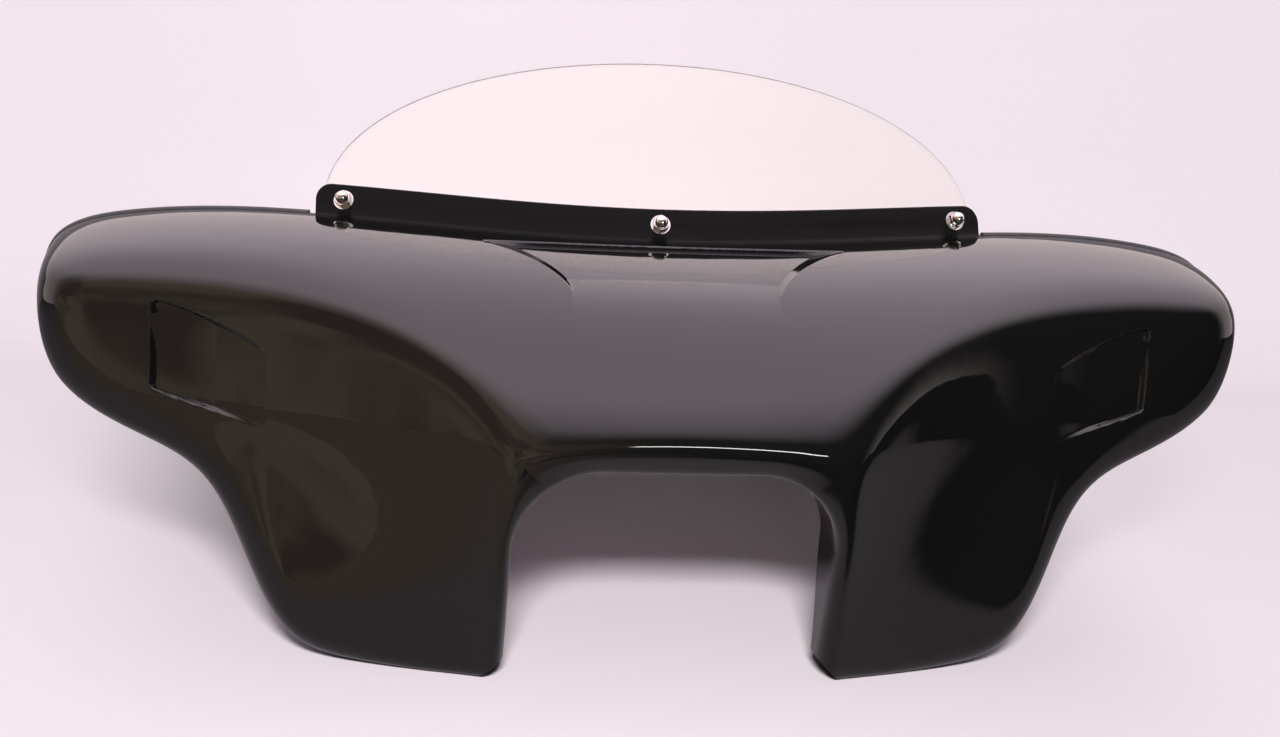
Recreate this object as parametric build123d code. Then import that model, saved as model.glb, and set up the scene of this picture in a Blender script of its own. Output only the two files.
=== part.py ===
from build123d import *
import math
import os

# Motorcycle fairing: a moulded shell with a hood, two swept wings and two legs round a headlight cut-out,
# a clear windshield bolted to the lip on its rear edge, and a tray that closes the back.
# All sizes in mm. X runs across, Y from the nose to the rear, Z up from the leg bottoms.

# Shell: overall form
wall = 3.5
overall_width = 918.0
hood_height = 303.0
hood_depth = 205.0
nose_height = 186.0
hood_fullness = 0.953
rear_bow = 78.0
rear_bow_reach = 430.0
top_crown = 33.6
top_fall = 50.0
wing_sweep = 230.0
wing_curl = 230.0
wing_set_back = 4.0
leg_tuck = 70.0
tuck_power = 1.3
leg_sweep_share = 0.38
leg_width = 186.0
leg_rise = 136.0
leg_flare = 16.0
leg_flare_reach = 2.7
leg_corner_cut = 18.0
leg_plate_set_in = 1.0
wing_underside_slope = 0.33
rear_edge_tuck = 60.0
rear_tuck_power = 1.5

# Shell: softness of the rounded edges, as the width over which two faces blend
tip_blend = 100.0
ridge_blend_nose = 22.0
ridge_blend_wing = 75.0
rim_blend_leg = 16.0
rim_blend_wing = 62.0
crease_blend = 12.0
edge_blend = 9.0

# Headlight cut-out with its slanting band and its flange
opening_width = 228.0
opening_height = 166.0
opening_radius = 60.0
band_width = 10.0
band_height = 20.0
band_depth = 16.0
band_set_back = 2.0
band_steepness = 0.6
crease_radius = 14.0
flange_depth = 60.0
flange_depth_low = 24.0
flange_full_height = 0.7 * opening_height

# Vent scoop below the windshield, measured forward from the rear edge and out from the centre line
scoop_front = 105.0
scoop_rear = 26.0
scoop_depth = 8.0
scoop_floor_front = 73.0
scoop_floor_rear = 88.0
scoop_mouth_rear = 132.0
scoop_flare_power = 1.6
scoop_entry = 0.12
scoop_headroom = 6.0

# Wedge recess on each wing
recess_outer = 368.0
recess_length = 100.0
recess_low = 191.0
recess_height = 62.0
recess_low_slant = 27.0
recess_high_slant = 38.0
recess_slant_power = 1.5
recess_depth = 8.0
recess_fade = 2.0
recess_headroom = 15.0

# Windshield, and the leaning lip and gasket that it is bolted to
lean = math.radians(28)
lip_height = 22.0
lip_half = 256.0
lip_end_radius = 12.0
gasket_thickness = 1.5
windshield_thickness = 3.0
windshield_half = 250.0
windshield_height = 104.0
windshield_shoulder = 8.0
sheet_foot = 2.0
fit_gap = 0.1

# Windshield bolts, each with an acorn nut in front
bolt_spacing = 235.0
bolt_rise = 11.0
bolt_diameter = 6.0
bolt_hole = 6.6
bolt_head_diameter = 12.0
bolt_head_height = 3.5
bolt_reach = 6.5
nut_across = 11.0
nut_height = 5.0
nut_cap_diameter = 9.6
nut_collar = 1.0
washer_diameter = 15.0
washer_thickness = 1.5
soft_washer_thickness = 1.5

# Rubber trim along the rear edge of each wing, from beside the windshield to the underside
trim_diameter = 6.4
trim_gap = 0.4
trim_start = 262.0
trim_finish = 404.0

# Tray that closes the back, with stand-offs for the fork brackets
tray_thickness = 3.0
tray_depth = 12.0
tray_depth_low = 18.0
tray_set_in = 1.0
tray_gap = 1.0
tray_corner_cut = 44.0
standoff_x = 100.0
standoff_low = 220.0
standoff_high = 270.0
standoff_diameter = 26.0
standoff_bore = 8.5
standoff_face = 188.0
standoff_root = 6.5

# Rim screws that hold the tray in the shell, placed by their distance from the centre line
rim_screw_places = (247.0, 298.0)
rim_screw_inset = 5.5
rim_screw_diameter = 4.0
rim_screw_hole = 4.5
rim_screw_head = 9.0
rim_screw_head_height = 2.6
rim_nut_across = 7.0
rim_nut_height = 3.2
rim_nut_clearance = 0.3
drill_reach = 22.0

half_width = overall_width / 2
half_opening = opening_width / 2
half_crease = half_opening + band_width
leg_outer = half_opening + leg_width
lean_share = 1 / math.cos(lean)
nut_seat = fit_gap + washer_thickness
stack_back = wall + gasket_thickness + windshield_thickness + 3 * fit_gap
head_seat = stack_back + soft_washer_thickness + fit_gap
front_view_depth = 3 * hood_depth

# Ribs that the skin is drawn through, fanned about a point inside the cut-out
hood_ribs = 5
fan_ribs = 40
flange_points = 14
face_points = 34
dense_points = 120
solve_turns = 44
scale_limit = 4.0
fan_x = half_opening / 2
fan_z = 0.45 * opening_height
crease_share = 0.6
flange_crowding = 1.5
face_crowding = 0.12
scoop_stations = 5
recess_stations = 4
sheet_stations = 12
trim_stations = 24


def ease(low, high, value):
    """Smooth step from 0 at low to 1 at high."""
    u = min(max((value - low) / (high - low), 0), 1)
    return u * u * (3 - 2 * u)


def soft_max(a, b, blend):
    """The larger of two distances, rounded where they are within the blend width of each other."""
    h = max(blend - abs(a - b), 0) / blend
    return max(a, b) + h ** 3 * blend / 6


def logistic(value):
    return 1 / (1 + math.exp(-value))


def rear_line(x):
    """Depth of the top rear edge: bowed under the windshield, level towards the wing tips."""
    u = min(abs(x) / rear_bow_reach, 1)
    return hood_depth + rear_bow * u * u * (2 - u * u)


def top_height(x):
    """Height of the top rear edge: crowned beside the windshield, falling towards the wing tips."""
    u = abs(x) / half_width
    return hood_height + top_crown * u * u - top_fall * u ** 4


def under_height(x):
    """Height of the lower outline: level under the leg, steep beside it, gentle under the wing."""
    step = logistic((x - leg_outer) / leg_flare)
    past = (x - leg_outer) / leg_flare - leg_flare_reach
    soft = leg_flare * (max(past, 0) + math.log1p(math.exp(-abs(past))))
    return leg_rise * step + wing_underside_slope * soft


def under_slope(x):
    step = logistic((x - leg_outer) / leg_flare)
    past = logistic((x - leg_outer) / leg_flare - leg_flare_reach)
    return leg_rise * step * (1 - step) / leg_flare + wing_underside_slope * past


def tuck(z):
    """How far the leg's front stands back from the nose."""
    return leg_tuck * max(1 - z / nose_height, 0) ** tuck_power


def outside_opening(x, z, half, top, radius):
    """Distance outside a U-shaped opening with rounded upper corners."""
    qx = abs(x) - (half - radius)
    qz = z - (top - radius)
    return math.hypot(max(qx, 0), max(qz, 0)) + min(max(qx, qz), 0) - radius


def hood_distance(x, y, z):
    reach = hood_depth / hood_fullness
    fall = (hood_height - nose_height) / (1 - math.sqrt(1 - hood_fullness ** 2))
    forward = max(rear_line(x) - y, 0) / reach
    upward = max(z - top_height(x) + fall, 0) / fall
    return (math.hypot(forward, upward) - 1) * reach


def wing_distance(x, y, z):
    share = leg_sweep_share + (1 - leg_sweep_share) * ease(0, nose_height, z)
    fade = math.exp(-(abs(x) - half_opening) / wing_curl)
    face = wing_set_back + tuck(z) + wing_sweep * share * (1 - fade)
    slope = wing_sweep * share * fade / wing_curl
    return (face - y) / math.hypot(1, slope)


def outline_distance(x, y, z):
    side = abs(x)
    under = (under_height(side) - z) / math.hypot(1, under_slope(side))
    tip = side - half_width
    return soft_max(under, tip, tip_blend)


def front_distance(x, y, z):
    """Hood and wing faces, with the soft shoulder where they meet."""
    spread = ease(half_opening, half_opening + wing_curl, abs(x))
    blend = ridge_blend_nose + (ridge_blend_wing - ridge_blend_nose) * spread
    return soft_max(hood_distance(x, y, z), wing_distance(x, y, z), blend)


def band_distance(x, y, z):
    """Slanting band between the crease and the inner edge of the cut-out."""
    inner = outside_opening(x, z, half_opening, opening_height, opening_radius)
    crease = outside_opening(x, z, half_crease, opening_height + band_height, crease_radius)
    share = inner / max(inner - crease, 1)
    return (band_set_back + tuck(z) + band_depth * (1 - share) - y) * band_steepness


def rim_distance(x, y, z):
    spread = ease(half_opening + leg_width / 4, leg_outer + leg_flare, abs(x))
    blend = rim_blend_leg + (rim_blend_wing - rim_blend_leg) * spread
    return soft_max(front_distance(x, y, z), outline_distance(x, y, z), blend)


def skin_distance(x, y, z):
    """Signed distance to the outer skin, negative inside the moulding."""
    body = soft_max(rim_distance(x, y, z), band_distance(x, y, z), crease_blend)
    inner = outside_opening(x, z, half_opening, opening_height, opening_radius)
    return soft_max(body, -inner, edge_blend)


def flange_rear(z):
    """Depth of the rear edge of the cut-out's flange."""
    depth = flange_depth_low + (flange_depth - flange_depth_low) * ease(0, flange_full_height, z)
    return band_set_back + band_depth + tuck(z) + depth


def rim_rear(x, z):
    """Depth of the rear edge of the outer rim."""
    return rear_line(x) - rear_edge_tuck * max(1 - z / hood_height, 0) ** rear_tuck_power


def solve(inside, outside, distance):
    """Place between an inside and an outside value where the distance is nought."""
    for turn in range(solve_turns):
        middle = (inside + outside) / 2
        if distance(middle) < 0:
            inside = middle
        else:
            outside = middle
    return (inside + outside) / 2


class Rib:
    """One section of the skin, in an upright plane seen edge on from the front."""

    def __init__(self, start, angle):
        self.start = start
        self.across = math.sin(angle)
        self.upward = math.cos(angle)

    def place(self, along, y):
        return (self.start + self.across * along, y, fan_z + self.upward * along)

    def near(self, inset):
        """Distance along the rib to the wall of the cut-out."""

        def inner_side(along):
            x, y, z = self.place(along, 0)
            return outside_opening(x, z, half_opening, opening_height, opening_radius) - inset

        return solve(0, 2 * half_width, inner_side)

    def far(self, inset, ahead):
        """Distance along the rib to the outer rim, at some way ahead of its rear edge."""

        def outer_side(along):
            x, y, z = self.place(along, 0)
            return rim_distance(x, rim_rear(x, z) - ahead, z) + inset

        return solve(self.near(inset), 2 * half_width, outer_side)

    def near_rear(self, inset):
        x, y, z = self.place(self.near(inset), 0)
        return flange_rear(z)

    def far_rear(self, inset):
        x, y, z = self.place(self.far(inset, 0), 0)
        return rim_rear(x, z)

    def dense(self, inset):
        """Closely spaced points of the section, from the cut-out's rear edge to the rim's."""
        near, far = self.near(inset), self.far(inset, 0)
        y_near, y_far = self.near_rear(inset), self.far_rear(inset)
        points = []
        for step in range(dense_points + 1):
            turn = math.pi * step / dense_points
            along = -math.cos(turn) * (far - near) / 2
            back = -math.cos(turn) * (y_far - y_near) / 2 - math.sin(turn) * hood_depth / 2

            def beyond(scale):
                x, y, z = self.place((near + far) / 2 + along * scale, (y_near + y_far) / 2 + back * scale)
                return skin_distance(x, y, z) + inset

            scale = 1 if step in (0, dense_points) else solve(0, scale_limit, beyond)
            points.append(self.place((near + far) / 2 + along * scale, (y_near + y_far) / 2 + back * scale))
        return points

    def section(self, inset):
        """Points of the section spaced from the crease, close together where the skin bends most."""
        points = self.dense(inset)
        lengths = [0.0]
        for a, b in zip(points, points[1:]):
            lengths.append(lengths[-1] + math.dist(a, b))
        crease_at = 0
        for index, (x, y, z) in enumerate(points):
            if outside_opening(x, z, half_crease, opening_height + band_height, crease_radius) < inset:
                crease_at = index
        crease = min(lengths[crease_at], crease_share * lengths[-1])
        stations = [crease * (1 - (1 - j / flange_points) ** flange_crowding) for j in range(flange_points)]
        for j in range(face_points + 1):
            v = j / face_points
            stations.append(crease + (lengths[-1] - crease) * (v - face_crowding * math.sin(2 * math.pi * v)))
        return [point_at(points, lengths, s) for s in stations]

    def tray_section(self):
        """Corners of the tray's channel section."""
        outer = wall + tray_gap
        inner = outer + tray_thickness
        y_near = self.near_rear(outer) - tray_set_in
        y_far = self.far_rear(outer) - tray_set_in
        x, y, z = self.place(self.far(outer, 0), 0)
        depth = tray_depth_low + (tray_depth - tray_depth_low) * ease(0, hood_height, z)
        floor_near = y_near - depth
        floor_far = y_far - depth
        ahead = tray_set_in + depth
        corners = [
            (self.near(outer), y_near),
            (self.near(outer), floor_near),
            (self.far(outer, ahead), floor_far),
            (self.far(outer, tray_set_in), y_far),
            (self.far(inner, tray_set_in), y_far),
            (self.far(inner, ahead), floor_far + tray_thickness),
            (self.near(inner), floor_near + tray_thickness),
            (self.near(inner), y_near),
        ]
        return [self.place(along, y) for along, y in corners]


def point_at(points, lengths, station):
    """Point at a given length along a run of points."""
    for index in range(1, len(points)):
        if lengths[index] >= station - 1e-9:
            share = (station - lengths[index - 1]) / (lengths[index] - lengths[index - 1])
            return tuple(a + (b - a) * share for a, b in zip(points[index - 1], points[index]))
    return points[-1]


def fan_angle(x, z):
    return math.atan2(x - fan_x, z - fan_z)


def half_ribs(corner_cut):
    """Ribs of the right half: upright across the hood, then fanned round the cut-out to the leg's corner."""
    corner = fan_angle(half_opening, corner_cut)
    ribs = [Rib(fan_x * j / hood_ribs, 0) for j in range(hood_ribs)]
    return ribs + [Rib(fan_x, corner * j / fan_ribs) for j in range(fan_ribs + 1)]


def mirrored(row):
    return [(-x, y, z) for x, y, z in row]


def both_sides(rows):
    """Rows of the left half, mirrored, followed by those of the right half."""
    return [mirrored(row) for row in reversed(rows[1:])] + rows


def curve_through(row):
    """Smooth curve through a row of points, with the same spacing along every row."""
    spacing = [j / (len(row) - 1) for j in range(len(row))]
    return Edge.make_spline([Vector(*point) for point in row], parameters=spacing)


def polygon(corners):
    return Wire.make_polygon([Vector(*corner) for corner in corners], close=True)


def solid_form(rows):
    """Solid bounded by the skin through the rows and closed straight across its rear edges."""
    wires = []
    for row in rows:
        wires.append(Wire([curve_through(row), Edge.make_line(row[-1], row[0])]))
    return Solid.make_loft(wires)


def moulded_wall(outer_rows, inner_rows):
    """Wall between an outer and an inner skin."""
    wires = []
    for outer, inner in zip(outer_rows, inner_rows):
        rims = [Edge.make_line(outer[0], inner[0]), Edge.make_line(outer[-1], inner[-1])]
        wires.append(Wire([curve_through(outer), rims[1], curve_through(inner), rims[0]]))
    return Solid.make_loft(wires)


def skin_depth(x, z):
    """Depth of the front skin at a place in the front view."""
    return solve(rim_rear(x, z), -hood_depth, lambda y: skin_distance(x, y, z))


def hood_top(y):
    """Height of the hood on the centre line."""
    return solve(opening_height + band_height, 2 * hood_height, lambda z: skin_distance(0, y, z))


def scoop(grow):
    """Space of the vent below the windshield: a ramp that deepens to a closed rear wall."""
    sections = []
    for j in range(scoop_stations + 1):
        v = j / scoop_stations
        y = hood_depth - scoop_front + (scoop_front - scoop_rear) * v
        depth = scoop_depth * ease(-scoop_entry, 1, v)
        half = scoop_floor_front + (scoop_floor_rear - scoop_floor_front) * v
        flare = (scoop_mouth_rear - scoop_floor_rear) * v ** scoop_flare_power
        low = hood_top(y) - depth - grow
        high = hood_top(y) + scoop_headroom
        mouth = half + flare * (depth + scoop_headroom) / depth
        station = y + grow * (2 * v - 1)
        corners = [(half + grow, station, low), (mouth + grow, station, high)]
        sections.append(polygon(corners + mirrored(reversed(corners))))
    return Solid.make_loft(sections)


def recess(grow):
    """Space of the wedge recess on the right wing: deep at its outer wall, fading towards the hood."""
    sections = []
    for j in range(recess_stations + 1):
        v = j / recess_stations
        x = recess_outer - recess_length * (1 - v) + grow * (2 * v - 1)
        low = recess_low - recess_low_slant * (1 - v) - grow
        high = recess_low + recess_height - recess_high_slant * (1 - v) ** recess_slant_power + grow
        depth = (recess_depth + recess_fade) * v - recess_fade + grow
        floor = [(x, skin_depth(x, z) + depth, z) for z in (low, high)]
        mouth = [(x, skin_depth(x, z) - recess_headroom, z) for z in (high, low)]
        sections.append(polygon(floor + mouth))
    return Solid.make_loft(sections)


def lip_foot(x):
    """Depth of the lip's foot line, allowing for the lean over the crown of the rear edge."""
    return rear_line(x) - (top_height(x) - hood_height) * math.tan(lean)


def spread(half):
    """Evenly spaced places across the object."""
    return [half * (2 * j / sheet_stations - 1) for j in range(sheet_stations + 1)]


def leaning_sheet(front, thickness, half, outline):
    """Sheet that follows the bowed rear edge and leans back, trimmed to a front-view outline."""
    depth_below = 2 * lip_height
    low = hood_height - depth_below
    shift = front * lean_share - depth_below * math.tan(lean)
    back = shift + thickness * lean_share
    front_edge = Edge.make_spline([Vector(x, lip_foot(x) + shift, low) for x in spread(half)])
    back_edge = Edge.make_spline([Vector(x, lip_foot(x) + back, low) for x in spread(half)])
    sides = [Edge.make_line(front_edge @ t, back_edge @ t) for t in (0, 1)]
    plan = Face(Wire([front_edge, sides[1], back_edge, sides[0]]))
    length = (depth_below + 2 * lip_height + windshield_height) * lean_share
    sheet = Solid.extrude(plan, Vector(0, math.sin(lean), math.cos(lean)) * length)
    return sheet & outline


def edge_run(half, rise):
    """Curve along the rear edge, seen from the front, at a given rise above it."""
    return Edge.make_spline([Vector(x, 0, top_height(x) + rise) for x in spread(half)])


def through_front(edges):
    """Prism along Y from a closed run of front-view edges."""
    return Solid.extrude(Face(Wire(edges)), Vector(0, front_view_depth, 0))


def rounded_band(half, foot, top, radius):
    """Front-view prism between two lines along the rear edge, with rounded upper corners."""
    low = edge_run(half, foot)
    high = edge_run(half - radius, top)
    ends = []
    for t, side in ((0, -1), (1, 1)):
        shoulder = Vector(side * half, 0, (high @ t).Z - radius)
        bend = (1 - math.sqrt(0.5)) * radius
        middle = Vector(side * (half - bend), 0, (high @ t).Z - bend)
        ends.append(Edge.make_line(low @ t, shoulder))
        ends.append(Edge.make_three_point_arc(shoulder, middle, high @ t))
    return through_front([low, high] + ends)


def lip():
    outline = rounded_band(lip_half, -wall / 2, lip_height, lip_end_radius)
    return leaning_sheet(-wall, wall, lip_half + wall, outline)


def gasket():
    half = windshield_half - lip_end_radius / 2
    outline = rounded_band(half, sheet_foot, lip_height - sheet_foot, lip_end_radius)
    sheet = leaning_sheet(fit_gap, gasket_thickness, lip_half, outline)
    return drilled(sheet, bolt_hole)


def windshield():
    low = edge_run(windshield_half, sheet_foot)
    shoulder = top_height(windshield_half) + windshield_shoulder
    crown = hood_height + lip_height + windshield_height
    corners = [Vector(side * windshield_half, 0, shoulder) for side in (-1, 1)]
    arch = Edge.make_ellipse(
        windshield_half,
        crown - shoulder,
        Plane((0, 0, shoulder), x_dir=(1, 0, 0), z_dir=(0, -1, 0)),
        start_angle=0,
        end_angle=180,
    )
    sides = [Edge.make_line(low @ t, corners[t]) for t in (0, 1)]
    front = 2 * fit_gap + gasket_thickness
    outline = through_front([low, sides[0], arch, sides[1]])
    sheet = leaning_sheet(front, windshield_thickness, lip_half, outline)
    return drilled(sheet, bolt_hole)


def bolt_planes():
    """Planes on the lip's front face at the windshield bolts, facing forward."""
    planes = []
    for x in (-bolt_spacing, 0, bolt_spacing):
        y = rear_line(x) - wall * lean_share + bolt_rise * math.tan(lean)
        across = Vector(2, rear_line(x + 1) - rear_line(x - 1), top_height(x + 1) - top_height(x - 1))
        up = Vector(0, math.sin(lean), math.cos(lean))
        planes.append(Plane((x, y, top_height(x) + bolt_rise), x_dir=across, z_dir=across.cross(up)))
    return planes


def rod(plane, radius, start, finish):
    """Round rod along a plane's normal between two distances from it."""
    return Solid.make_cylinder(radius, finish - start, plane.offset(start))


def drilled(shape, diameter):
    for plane in bolt_planes():
        shape = shape - rod(plane, diameter / 2, -drill_reach, drill_reach)
    return shape


def washer_ring(plane, start, thickness):
    disc = rod(plane, washer_diameter / 2, start, start + thickness)
    return disc - rod(plane, bolt_hole / 2, -drill_reach, drill_reach)


def hex_prism(plane, across, start, height):
    sketch = plane.offset(start) * RegularPolygon(across / 2, 6, major_radius=False)
    return extrude(sketch, amount=height).solid()


def acorn_nut(plane):
    cap_radius = nut_cap_diameter / 2
    top = nut_seat + nut_height
    nut = hex_prism(plane, nut_across, nut_seat, nut_height)
    nut = nut + rod(plane, cap_radius, top - nut_collar, top + nut_collar)
    nut = nut + Solid.make_sphere(cap_radius, plane.offset(top + nut_collar))
    return nut - rod(plane, bolt_diameter / 2 + fit_gap, 0, nut_seat + bolt_reach + fit_gap)


def windshield_bolt(plane):
    shank = rod(plane, bolt_diameter / 2, -head_seat, nut_seat + bolt_reach)
    return shank + rod(plane, bolt_head_diameter / 2, -head_seat - bolt_head_height, -head_seat)


def rim_screw_planes():
    """Planes on the outside of the shell at the rim screws, facing outward."""
    planes = []
    for side in (-1, 1):
        for x in rim_screw_places:
            z = under_height(x)
            y = rim_rear(x, z) - rim_screw_inset
            planes.append(Plane((side * x, y, z), x_dir=(0, 1, 0), z_dir=(side * under_slope(x), 0, -1)))
    return planes


def screw_holes(shape):
    for plane in rim_screw_planes():
        shape = shape - rod(plane, rim_screw_hole / 2, -drill_reach, drill_reach)
    return shape


def inside_tray(plane):
    """Distance from the outside of the shell at a rim screw to the inner face of the tray's skirt."""

    def short_of_tray(depth):
        place = plane.origin - plane.z_dir * depth
        return -rim_distance(place.X, place.Y, place.Z) - wall - tray_gap - tray_thickness

    return solve(0, drill_reach, short_of_tray) + rim_nut_clearance


def rim_screw(plane):
    head = rod(plane, rim_screw_head / 2, fit_gap, fit_gap + rim_screw_head_height)
    return head + rod(plane, rim_screw_diameter / 2, -inside_tray(plane) - rim_nut_height, fit_gap)


def rim_nut(plane):
    start = -inside_tray(plane) - rim_nut_height
    nut = hex_prism(plane, rim_nut_across, start, rim_nut_height)
    return nut - rod(plane, rim_screw_diameter / 2 + fit_gap, -drill_reach, 0)


def leg_plate():
    """Plate that closes the moulding at the right leg's inner corner."""
    corner = fan_angle(half_opening, leg_corner_cut)
    ribs = []
    for back in (leg_plate_set_in + wall, leg_plate_set_in):
        ribs.append(Rib(fan_x, corner - back / (half_opening - fan_x)))
    return solid_form([rib.section(wall / 2) for rib in ribs])


def shell():
    ribs = half_ribs(leg_corner_cut)
    outer_rows = both_sides([rib.section(0) for rib in ribs])
    inner_rows = both_sides([rib.section(wall) for rib in ribs])
    core = solid_form(both_sides([rib.section(wall / 2) for rib in ribs]))
    result = moulded_wall(outer_rows, inner_rows)
    result = result + (scoop(wall) & core) - scoop(0)
    for added in (leg_plate(), recess(wall) & core):
        result = result + added + added.mirror(Plane.YZ)
    result = result - recess(0) - recess(0).mirror(Plane.YZ)
    result = drilled(result + lip(), bolt_hole)
    return screw_holes(result)


def tray_floor(x, z):
    """Depth of the tray's floor at a place in the front view."""
    rib = Rib(fan_x, fan_angle(x, z))
    outer = wall + tray_gap
    share = (math.hypot(x - fan_x, z - fan_z) - rib.near(outer)) / (rib.far(outer, 0) - rib.near(outer))
    rear = rib.near_rear(outer) + (rib.far_rear(outer) - rib.near_rear(outer)) * share
    return rear - tray_set_in - tray_depth


def standoff_places():
    return [(side * standoff_x, z) for side in (-1, 1) for z in (standoff_low, standoff_high)]


def tray():
    rows = both_sides([rib.tray_section() for rib in half_ribs(tray_corner_cut)])
    result = Solid.make_loft([polygon(row) for row in rows])
    for x, z in standoff_places():
        start = tray_floor(abs(x), z) - standoff_root
        face = Plane((x, standoff_face, z), x_dir=(1, 0, 0), z_dir=(0, 1, 0))
        result = result + rod(face, standoff_diameter / 2, start - standoff_face, 0)
    for x, z in standoff_places():
        face = Plane((x, standoff_face, z), x_dir=(1, 0, 0), z_dir=(0, 1, 0))
        result = result - rod(face, standoff_bore / 2, -standoff_face, standoff_diameter)
    return screw_holes(result)


def edge_trim():
    """Trim bead behind the rear edge of the right wing."""
    start = fan_angle(trim_start, top_height(trim_start))
    finish = fan_angle(trim_finish, under_height(trim_finish))
    run = []
    lengths = [0.0]
    for j in range(dense_points + 1):
        rib = Rib(fan_x, start + (finish - start) * j / dense_points)
        rear = rib.far_rear(wall / 2) + trim_diameter / 2 + trim_gap
        run.append(rib.place(rib.far(wall / 2, 0), rear))
        if j:
            lengths.append(lengths[-1] + math.dist(run[j - 1], run[j]))
    stations = [lengths[-1] * j / trim_stations for j in range(trim_stations + 1)]
    path = Edge.make_spline([Vector(*point_at(run, lengths, station)) for station in stations])
    rings = []
    for j in range(trim_stations + 1):
        share = j / trim_stations
        across = Plane(path @ share, x_dir=(0, 1, 0), z_dir=path % share)
        rings.append(Wire.make_circle(trim_diameter / 2, across))
    return Solid.make_loft(rings)


def build():
    trim = edge_trim()
    planes = bolt_planes()
    screws = rim_screw_planes()
    soft_seat = -stack_back - soft_washer_thickness
    return {
        "outer_shell": shell(),
        "inner_tray": tray(),
        "windshield": windshield(),
        "windshield_gasket": gasket(),
        "edge_trim_right": trim,
        "edge_trim_left": trim.mirror(Plane.YZ),
        "windshield_bolts": Compound([windshield_bolt(plane) for plane in planes]),
        "acorn_nuts": Compound([acorn_nut(plane) for plane in planes]),
        "nut_washers": Compound([washer_ring(plane, fit_gap, washer_thickness) for plane in planes]),
        "soft_washers": Compound([washer_ring(plane, soft_seat, soft_washer_thickness) for plane in planes]),
        "rim_screws": Compound([rim_screw(plane) for plane in screws]),
        "rim_screw_nuts": Compound([rim_nut(plane) for plane in screws]),
    }


nodes = build()
# The origin is the middle of the four bracket holes, on the faces the fork brackets bear on
to_origin = Location((0, -standoff_face, -(standoff_low + standoff_high) / 2))
os.makedirs("parts", exist_ok=True)
for name, shape in nodes.items():
    export_step(shape.moved(to_origin), f"parts/{name}.step")
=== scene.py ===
import bpy
import math
import numpy as np
from mathutils import Matrix, Vector


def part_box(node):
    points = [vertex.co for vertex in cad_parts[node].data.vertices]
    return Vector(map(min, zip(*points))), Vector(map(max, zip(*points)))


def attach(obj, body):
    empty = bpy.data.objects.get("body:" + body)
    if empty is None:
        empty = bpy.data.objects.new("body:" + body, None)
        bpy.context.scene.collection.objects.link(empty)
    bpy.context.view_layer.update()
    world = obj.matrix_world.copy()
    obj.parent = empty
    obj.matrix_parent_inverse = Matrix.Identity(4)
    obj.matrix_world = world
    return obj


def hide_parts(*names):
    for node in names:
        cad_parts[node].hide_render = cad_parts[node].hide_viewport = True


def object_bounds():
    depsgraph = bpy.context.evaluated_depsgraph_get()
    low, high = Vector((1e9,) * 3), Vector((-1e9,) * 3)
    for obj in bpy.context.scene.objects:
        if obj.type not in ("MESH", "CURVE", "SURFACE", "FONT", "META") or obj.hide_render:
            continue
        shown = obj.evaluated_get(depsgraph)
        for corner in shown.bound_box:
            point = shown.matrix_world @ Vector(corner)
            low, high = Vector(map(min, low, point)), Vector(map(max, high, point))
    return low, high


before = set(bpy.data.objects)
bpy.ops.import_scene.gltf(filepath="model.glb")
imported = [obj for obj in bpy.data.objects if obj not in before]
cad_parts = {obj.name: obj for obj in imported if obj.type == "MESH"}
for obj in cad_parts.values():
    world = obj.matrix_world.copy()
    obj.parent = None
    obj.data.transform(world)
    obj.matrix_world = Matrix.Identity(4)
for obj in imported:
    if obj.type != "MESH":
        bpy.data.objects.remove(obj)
cad_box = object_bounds()
# Where the fairing stands: the middle of its box in plan, at the leg bottoms.
ground = (Vector(cad_box[0]) + Vector(cad_box[1])) / 2
ground.z = cad_box[0][2]
scene = bpy.context.scene

# The fairing's own drawing: millimetres, X across, Y from the nose to the rear, Z up from the leg bottoms.
MM = 0.001
wall = 3.5
overall_width = 918.0
hood_height = 303.0
hood_depth = 205.0
nose_height = 186.0
hood_fullness = 0.953
rear_bow = 78.0
rear_bow_reach = 430.0
top_crown = 33.6
top_fall = 50.0
wing_sweep = 230.0
wing_curl = 230.0
wing_set_back = 4.0
leg_tuck = 70.0
tuck_power = 1.3
leg_sweep_share = 0.38
leg_width = 186.0
leg_rise = 136.0
leg_flare = 16.0
leg_flare_reach = 2.7
leg_corner_cut = 18.0
wing_underside_slope = 0.33
rear_edge_tuck = 60.0
rear_tuck_power = 1.5

# Softness of the rounded edges
tip_blend = 100.0
ridge_blend_nose = 22.0
ridge_blend_wing = 42.0
rim_blend_leg = 16.0
rim_blend_wing = 62.0
crease_blend = 12.0
edge_blend = 9.0

# Headlight cut-out
opening_width = 228.0
opening_height = 166.0
opening_radius = 60.0
band_width = 10.0
band_height = 20.0
band_depth = 16.0
band_set_back = 2.0
band_steepness = 0.6
crease_radius = 14.0
flange_depth = 60.0
flange_depth_low = 24.0
flange_full_height = 0.7 * opening_height

# Vent scoop and wing recesses
scoop_front = 105.0
scoop_rear = 26.0
scoop_depth = 8.0
scoop_entry = 0.35
scoop_settle = 0.92
scoop_flare_power = 1.6
scoop_floor_front = 73.0
scoop_floor_rear = 88.0
scoop_mouth_rear = 132.0
recess_outer = 368.0
recess_length = 100.0
recess_low = 191.0
recess_height = 62.0
recess_low_slant = 27.0
recess_high_slant = 38.0
recess_slant_power = 1.5
recess_depth = 8.0
recess_fade = 2.0
recess_wall = 6.0
wall_softness = 2.4
edge_softness = 4.5

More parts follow.
